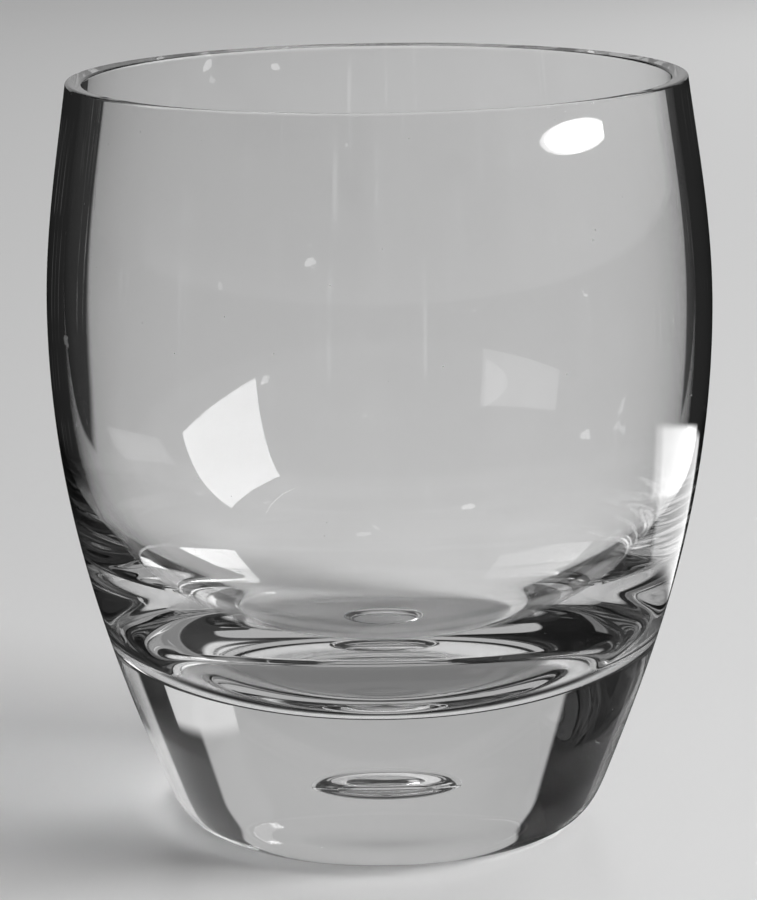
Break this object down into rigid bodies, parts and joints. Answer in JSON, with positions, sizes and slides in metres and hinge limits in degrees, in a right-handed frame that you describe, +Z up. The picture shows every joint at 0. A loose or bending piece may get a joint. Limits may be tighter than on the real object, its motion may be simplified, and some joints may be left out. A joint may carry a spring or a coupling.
{
  "type": "double old fashioned glass",
  "caption": "Barrel-shaped clear glass tumbler with a plain rim and a heavy base that traps a flat oval air bubble, for a short drink over ice.",
  "frame": {"origin": "centre of the flat foot, on the surface that the glass stands on", "axes": "+Z up along the axis of the glass, from the foot to the rim; X and Y are level and equal, because the glass is round"},
  "size_m": [0.0922, 0.0922, 0.105],
  "materials": {
    "clear_glass": "clear, polished, colourless",
    "trapped_air": "air, seen as a bright clear oval in the glass"
  },
  "bodies": {
    "root": {"bowl": "clear_glass", "base": "clear_glass", "air_bubble": "trapped_air"}
  },
  "joints": []
}
